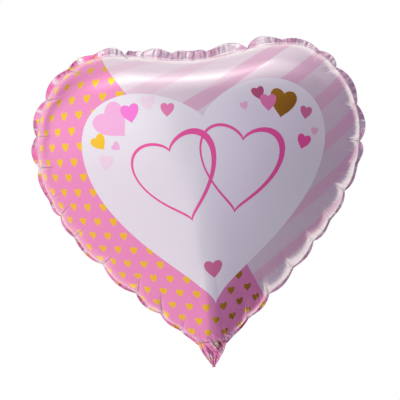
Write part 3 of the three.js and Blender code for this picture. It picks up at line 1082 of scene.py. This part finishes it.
def stripe_mask(place, look):
    """1 on the diagonal stripes"""
    run, across = turned(place.right, place.up, look.stripe_angle)
    across = across + ((FAN_START - place.right) / FAN_WIDTH).held() * (run - FAN_START) * FAN_RATE
    return abs((across - STRIPE_START).wrap(look.stripe_pitch * 1000)) < look.stripe_width * 500


def band_mask(place):
    """1 on the pink band, to the lower left of two edges that meet under the white heart"""
    upper, lower = ((place.right - right) * across + (place.up - up) * climb < 0.0
                    for (right, up), (across, climb) in BAND_EDGES)
    return upper * lower


def glare_mask(place):
    """1 over the left lobe and the notch, where the stripes are fainter"""
    above = (place.up - 30.0) * 2.67 - 32.0 - place.right
    return above.step(0.0, 10.0) * (1.0 - place.right.step(20.0, 70.0))


def dot_mask(place, look):
    """1 inside the small hearts, with every other row shifted by half a pitch"""
    pitch, step, size = look.dot_pitch * 1000, look.dot_row * 1000, look.dot_size * 1000
    climb = place.up - DOT_START[1]
    row = (climb / step + 0.5).floor()
    shifted = place.right - DOT_START[0] + (row * 0.5).fract() * pitch
    return heart_value(shifted.wrap(pitch) / size, (climb - row * step) / (size * 1.02)) < 1.0


def printed_film(look):
    """Metallised film with pearl, stripes, a white heart field, a pink band and hearts, and painted shade and
    highlights at the creases, the hem, the tip and the weld
    """
    material, board = new_material("printed film")
    place = FilmPlace(board)
    right, up, on_hem = place.right, place.up, place.on_hem
    stripes, field, band = stripe_mask(place, look), field_mask(place), band_mask(place)
    dots = dot_mask(place, look) * band * up.step(*DOTS_END)

    # Print, from the ground up
    tint = board.mix(stripes * (1.0 - glare_mask(place) * 0.5), look.pearl, look.stripe)
    for mask, ink in ((band, look.band), (dots, look.gold), (field, look.white)):
        tint = board.mix(mask, tint, ink)
    mirror = dots * (1.0 - field)
    for ink, centre, half_width, turn in FIELD_HEARTS:
        mask = heart_at(place, centre, half_width, turn)[1] < 1.0
        tint = board.mix(mask, tint, getattr(look, ink))
        mirror = mirror.most(mask) if ink == "gold" else mirror * (1.0 - mask)
    for motif in MOTIF:
        tint = board.mix(heart_line(place, *motif), tint, look.magenta)

    # Painted shade and highlights over the print: mauve and magenta patches on the hem are painted shade of
    # its crinkles, white patches on it are painted glints, the pale and dark lines beside and down each
    # crease are painted highlight and painted shade, the white facets of the tip are painted glints, and the
    # bright line along the weld and the hem's inner edge is a painted highlight
    hem_shade_and_glint_patches = board.noise(place.along, HEM_SHADE_AND_GLINT_PATCHES_A_METRE)
    painted_crease_highlight = (abs(place.from_crease) - LINE_ASIDE).bell(0.0005)
    painted_crease_shade = place.from_crease.bell(0.0008) * (band * 0.8 + 0.7)
    fading = (1.0 - place.inward / 0.016).held() * place.pull * place.on_crown
    above_tip = up.step(*TIP_START)
    in_tip = 1.0 - above_tip
    painted_tip_glints = board.noise(board.vector((right + up * 0.55) * 0.16, (up - right * 0.55) * 0.06), distortion=0.8)
    for share, ink in (
            # Painted shade: darker mauve patches on the crinkled hem
            (on_hem * (1.0 - band) * hem_shade_and_glint_patches.step(0.42, 0.6) * 0.75, look.mauve),
            # Painted shade: deeper magenta patches on the hem over the pink band
            (on_hem * band * hem_shade_and_glint_patches.step(0.5, 0.6) * 0.6, look.magenta),
            # Painted highlight: white glints on the hem over the pink band
            (on_hem * band * (1.0 - hem_shade_and_glint_patches.step(0.36, 0.42)) * 0.7, look.seam),
            # Painted highlight beside each crease
            (painted_crease_highlight * fading * 0.4, look.seam),
            # Painted shade down the middle of each crease
            ((painted_crease_shade * fading).held(), look.fold),
            (in_tip * 0.4, TIP_TINT),
            # Painted highlight: white glints on the tip
            (painted_tip_glints.step(0.56, 0.62) * in_tip * 0.6, look.seam),
            # Painted highlight: bright line along the weld on the crown
            (place.inward.bell(0.0016) * place.on_crown * above_tip * 0.6, look.seam),
            # Painted highlight: bright inner edge of the hem at the weld
            (on_hem * (1.15 - place.share).held() * 4.0, look.seam)):
        tint = board.mix(share, tint, ink)

    # How much of a mirror the film is: most in gold, and least in the field
    outside = (1.0 - field) * (0.10 - stripes * (1.0 - band) * 0.1 + band * 0.08)
    finish_material(board, {
        "Base Color": tint,
        "Metallic": mirror.most(outside + 0.5) * 0.98,
        "Roughness": grain_on(board, 90.0) * 0.05 + 0.17,
        "Normal": film_relief(board, place),
        "Coat Weight": 0.2,
        "Coat Roughness": 0.1,
    })
    return material


def grain_on(board, scale):
    """Fine noise that keeps its size on the film, in cycles a metre"""
    own = board.node("ShaderNodeTexCoord", out=3)
    return board.noise(own, scale, 3.0)


def plain_film(look):
    """Metallised film without print"""
    material, board = new_material("plain film")
    grain = grain_on(board, 60.0)
    finish_material(board, {
        "Base Color": board.mix(grain, [0.96 * c for c in look.silver], look.silver),
        "Metallic": 0.92,
        "Roughness": grain * 0.06 + 0.17,
        "Normal": film_relief(board, FilmPlace(board)),
    })
    return material


def valve_film(look):
    """Clear polyethylene film"""
    material, board = new_material("valve film")
    finish_material(board, {
        "Base Color": look.valve,
        "Roughness": grain_on(board, 120.0) * 0.15 + 0.3,
        "Alpha": 0.55,
        "IOR": 1.51,
    })
    return material


# Operators


class BALLOON_OT_front_film(bpy.types.Operator):
    """Makes the printed front film with its hem and its half of the filling tail"""
    bl_idname = "balloon.front_film"
    bl_label = "Front Film"

    def execute(self, context):
        make_film("front_film", "front_panel", -1, printed_film)
        return {"FINISHED"}


class BALLOON_OT_back_film(bpy.types.Operator):
    """Makes the plain back film with its hem and its half of the filling tail"""
    bl_idname = "balloon.back_film"
    bl_label = "Back Film"

    def execute(self, context):
        make_film("back_film", "back_panel", 1, plain_film)
        return {"FINISHED"}


# Valve film: columns, rows above the neck, how far these sway, and how many of the tail's rows it ends
# before the mouth
VALVE_COLUMNS = 13
VALVE_ROWS = 40
VALVE_SWAY = 0.0012
VALVE_SHORT = 3


def valve_strip(name, face, parts):
    """A valve film from just inside the tail's mouth, round the fold and into the balloon"""
    tail, path = parts.tail, TailPath(parts)
    offset = face * (parts.blown.clear / 2 + tail.valve_film)
    half = tail.valve_width / path.width_at_neck
    across = np.linspace(half, -half, VALVE_COLUMNS)
    x = across * path.width_at_neck / 2
    rows = []
    for height in np.arange(VALVE_ROWS, -1, -1) / VALVE_ROWS:
        sway = VALVE_SWAY * math.sin(3.2 * height) * height
        z = -parts.outline.neck_depth + tail.valve_reach * height
        rows.append(np.c_[x, np.full_like(x, offset + sway), np.full_like(x, z)])
    rows += [path.points(row, across, offset) for row in range(len(path.rows) - VALVE_SHORT)]
    numbers = np.arange(len(rows) * VALVE_COLUMNS).reshape(-1, VALVE_COLUMNS).tolist()
    faces = [f for above, below in zip(numbers, numbers[1:]) for f in stitch(below, above, closed=False)]
    if face < 0:
        faces = [tuple(reversed(f)) for f in faces]
    mesh = bpy.data.meshes.new(name)
    mesh.from_pydata(np.vstack(rows).tolist(), [], faces)
    return mesh


class BALLOON_OT_valve(bpy.types.Operator):
    """Makes the two valve films between the foil films"""
    bl_idname = "balloon.valve"
    bl_label = "Valve Films"

    def execute(self, context):
        parts = settings()
        material = valve_film(parts.print_look)
        for name, face in (("valve_front", -1), ("valve_back", 1)):
            piece = new_piece(name, valve_strip(name, face, parts))
            place_in_frame(piece, parts)
            piece.data.materials.append(material)
            finish_piece(piece, f"{name}_film", parts.tail.valve_film)
        return {"FINISHED"}


def area_lamp(name, place, aim, size, power):
    lamp = bpy.data.lights.new(name, "AREA")
    lamp.shape = "RECTANGLE"
    lamp.size, lamp.size_y = size
    lamp.energy = power
    holder = bpy.data.objects.new(name, lamp)
    holder.location = place
    holder.rotation_euler = (Vector(aim) - Vector(place)).to_track_quat("-Z", "Y").to_euler()
    holder.visible_glossy = False
    bpy.context.scene.collection.objects.link(holder)


# Colours of the room and of its ceiling, from the far left to the far right
ROOM = (
    (0.0, (0.98, 0.95, 1.0)),
    (0.28, (1.0, 0.95, 1.0)),
    (0.40, (0.84, 0.81, 0.87)),
    (0.46, (0.50, 0.46, 0.54)),
    (0.58, (0.38, 0.33, 0.46)),
    (0.71, (0.20, 0.13, 0.28)),
    (0.90, (0.08, 0.03, 0.11)),
    (1.0, (0.10, 0.05, 0.11)),
)
CEILING = (
    (0.0, (0.94, 0.90, 0.95)),
    (0.28, (0.88, 0.84, 0.89)),
    (0.37, (0.54, 0.52, 0.57)),
    (0.5, (0.42, 0.38, 0.44)),
    (0.72, (0.22, 0.16, 0.24)),
    (1.0, (0.15, 0.10, 0.16)),
)


def light_box(x, y, z):
    """1 on the soft box overhead, which curves down to both sides"""
    height = z.most(0.05)
    across = x / height
    curve = across * across * (across.least(0.0) * 5.5 + 2.5).most(0.0)
    strip = y / height + 0.36 - curve
    front_and_back = 1.0 - abs(strip + 0.10).step(0.02, 0.28)
    ends = across.step(-1.15, -0.9) * (1.0 - across.step(0.3, 0.45))
    return front_and_back * ends * z.step(0.1, 0.3)


def reflected_room(board, x, y, z):
    """What the film mirrors: a bright left, a dusky right, a light box overhead and white behind"""
    side = x * 0.5 + 0.5
    left, down = -x, -z
    seen = board.mix(z.step(0.1, 0.6), board.ramp(side, ROOM), board.ramp(side, CEILING))
    behind = y + down.most(0.0) * 0.3 - (z - abs(x) * 0.8).most(0.0) * 0.4
    dusk = left.step(0.45, 0.8) * y.step(0.12, 0.3) * (1.0 - y.step(0.42, 0.55)) * z.step(-0.4, 0.3)
    layers = {
        "zenith": (z.step(0.5, 0.9), (0.95, 0.90, 0.93)),
        "high behind": (z.step(0.3, 0.6) * y.step(-0.12, 0.12), (0.68, 0.63, 0.67)),
        "low right": (down.step(0.05, 0.5) * x.step(0.3, 0.7) * 0.7, (0.0, 0.0, 0.03)),
        "low left": (down.step(-0.1, 0.35) * left.step(0.0, 0.35) * 0.55, (0.82, 0.62, 0.74)),
        "ground": (down.step(0.2, 0.9) * (side * 0.5), (0.2, 0.16, 0.22)),
        "dusk at the left rim": (dusk * 0.6, (0.34, 0.12, 0.36)),
        "dusk at the right rim": (x.step(0.3, 0.8) * y.step(-0.3, 0.2) * 0.6, (0.08, 0.01, 0.12)),
        "behind": (behind.step(0.50, 0.68), (0.97, 0.96, 0.89)),
        "light box": (light_box(x, y, z), (1.62, 1.66, 1.6)),
    }
    for label, (share, shade) in layers.items():
        seen = board.mix(share, seen, shade)
        seen.socket.node.label = label
    return seen


def studio_world():
    """White for the camera, soft light for what is matt, and a room for what is glossy"""
    world = bpy.data.worlds.new("studio")
    bpy.context.scene.world = world
    world.use_nodes = True
    world.node_tree.nodes.clear()
    board = Board(world.node_tree)
    x, y, z = board.outputs("ShaderNodeSeparateXYZ", {0: board.node("ShaderNodeTexCoord")})
    path = board.node("ShaderNodeLightPath").socket.node.outputs
    camera, glossy = (Wire(board, path[f"Is {kind} Ray"]) for kind in ("Camera", "Glossy"))
    from_left = board.mix((-z).step(-0.2, 0.3), (0.84, 0.83, 0.86), (0.66, 0.62, 0.65))
    from_right = board.mix(z * 0.5 + 0.5, (0.27, 0.22, 0.37), (0.99, 0.92, 1.06))
    soft = board.mix(x * 0.5 + 0.5, from_left, from_right)
    tone = board.mix(glossy, soft, reflected_room(board, x, y, z))
    tone = board.mix(camera, tone, (1.0, 1.0, 1.0))
    back = board.node("ShaderNodeBackground", {"Color": tone, "Strength": 1.0})
    board.node("ShaderNodeOutputWorld", {"Surface": back})


class BALLOON_OT_stage(bpy.types.Operator):
    """Makes the camera, floor, lamps and world"""
    bl_idname = "balloon.stage"
    bl_label = "Stage"

    def execute(self, context):
        look = settings().stage_look
        scene = context.scene
        data = bpy.data.cameras.new("camera")
        data.sensor_width = 36
        data.lens = data.sensor_width * look.camera_distance / look.view_width
        camera = bpy.data.objects.new("camera", data)
        camera.location = (look.aim_right, -look.camera_distance, look.aim_up)
        facing = Matrix.Rotation(math.pi / 2, 3, "X")
        camera.rotation_euler = (Matrix.Rotation(look.roll, 3, "Y") @ facing).to_euler()
        scene.collection.objects.link(camera)
        scene.camera = camera

        half = look.floor_size / 2
        mesh = bpy.data.meshes.new("floor")
        corners = [(-half, -half), (half, -half), (half, half), (-half, half)]
        mesh.from_pydata([(x, y, -look.floor_drop) for x, y in corners], [], [(0, 1, 2, 3)])
        floor = new_piece("floor", mesh)
        material, board = new_material("pale floor")
        paper = board.node("ShaderNodeTexNoise", {"Scale": 30.0})
        tint = board.mix(paper, (0.86, 0.86, 0.86), (0.9, 0.9, 0.9))
        finish_material(board, {"Base Color": tint, "Roughness": 0.8})
        mesh.materials.append(material)
        floor.visible_glossy = False

        area_lamp("overhead", (0.0, -0.25, 1.1), (0, 0, 0), (1.3, 0.35), 4)
        area_lamp("key", (-1.3, -1.1, 0.5), (0, 0, 0), (1.0, 1.2), 5)
        studio_world()
        scene.view_settings.view_transform = "Standard"
        return {"FINISHED"}


class BALLOON_PT_panel(bpy.types.Panel):
    """Lists the balloon's pieces and sizes"""
    bl_label = "Foil Balloon"
    bl_idname = "BALLOON_PT_panel"
    bl_space_type = "VIEW_3D"
    bl_region_type = "UI"
    bl_category = "Foil Balloon"

    def draw(self, context):
        for operator in OPERATORS:
            self.layout.operator(operator.bl_idname)
        for name, group in vars(settings()).items():
            box = self.layout.box()
            box.label(text=titled(name))
            for key in group.__annotations__:
                box.prop(group, key)


OPERATORS = (BALLOON_OT_stage, BALLOON_OT_front_film, BALLOON_OT_back_film, BALLOON_OT_valve)
CLASSES = (*PROPERTY_GROUPS.values(), *OPERATORS, BALLOON_PT_panel)


def register():
    for cls in CLASSES:
        bpy.utils.register_class(cls)
    for name, group in PROPERTY_GROUPS.items():
        setattr(bpy.types.Scene, f"balloon_{name}", PointerProperty(type=group))


def unregister():
    for name in PROPERTY_GROUPS:
        delattr(bpy.types.Scene, f"balloon_{name}")
    for cls in reversed(CLASSES):
        bpy.utils.unregister_class(cls)


def main():
    register()
    bpy.ops.balloon.stage()
    bpy.ops.balloon.front_film()
    bpy.ops.balloon.back_film()
    bpy.ops.balloon.valve()


if __name__ == "__main__":
    main()
